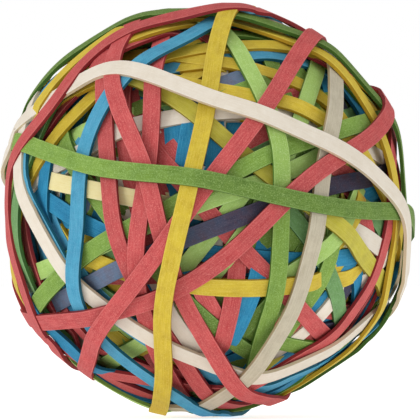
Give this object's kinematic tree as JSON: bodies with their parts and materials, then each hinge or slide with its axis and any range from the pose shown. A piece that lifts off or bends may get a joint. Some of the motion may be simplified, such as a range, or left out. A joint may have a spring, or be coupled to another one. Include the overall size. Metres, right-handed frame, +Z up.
{
  "type": "rubber band ball",
  "caption": "Ball of flat coloured rubber bands stretched one over another round a core of earlier windings, kept on a desk as a store of bands.",
  "frame": {"origin": "centroid of the ball, which is the centre of its core", "axes": "+Z up and -Y towards the viewer as the ball lies in the picture; a ball has no other axis of its own"},
  "size_m": [0.0856, 0.0859, 0.085],
  "materials": {
    "core": "matte, slightly dusty natural rubber, the dark depth of the earlier windings",
    "rubber_blue": "matte, slightly dusty natural rubber",
    "rubber_cream": "matte, slightly dusty natural rubber",
    "rubber_green": "matte, slightly dusty natural rubber",
    "rubber_purple": "matte, slightly dusty natural rubber",
    "rubber_red": "matte, slightly dusty natural rubber",
    "rubber_white": "matte, slightly dusty natural rubber",
    "rubber_yellow": "matte, slightly dusty natural rubber"
  },
  "bodies": {
    "root": {"band_01_yellow": "rubber_yellow", "band_02_cream": "rubber_cream", "band_03_yellow": "rubber_yellow", "band_04_yellow": "rubber_yellow", "band_05_red": "rubber_red", "band_06_green": "rubber_green", "band_07_blue": "rubber_blue", "band_08_green": "rubber_green", "band_09_green": "rubber_green", "band_10_green": "rubber_green", "band_11_green": "rubber_green", "band_12_blue": "rubber_blue", "band_13_blue": "rubber_blue", "band_14_blue": "rubber_blue", "band_15_red": "rubber_red", "band_16_red": "rubber_red", "band_17_yellow": "rubber_yellow", "band_18_white": "rubber_white", "band_19_green": "rubber_green", "band_20_green": "rubber_green", "band_21_purple": "rubber_purple", "band_22_green": "rubber_green", "band_23_green": "rubber_green", "band_24_yellow": "rubber_yellow", "band_25_yellow": "rubber_yellow", "band_26_green": "rubber_green", "band_27_yellow": "rubber_yellow", "band_28_green": "rubber_green", "band_29_green": "rubber_green", "band_30_blue": "rubber_blue", "band_31_red": "rubber_red", "band_32_red": "rubber_red", "band_33_red": "rubber_red", "band_34_white": "rubber_white", "band_35_white": "rubber_white", "band_36_yellow": "rubber_yellow", "band_37_blue": "rubber_blue", "band_38_red": "rubber_red", "band_39_green": "rubber_green", "band_40_red": "rubber_red", "band_41_red": "rubber_red", "band_42_yellow": "rubber_yellow", "band_43_green": "rubber_green", "band_44_white": "rubber_white", "band_45_red": "rubber_red", "core": "core"}
  },
  "joints": []
}
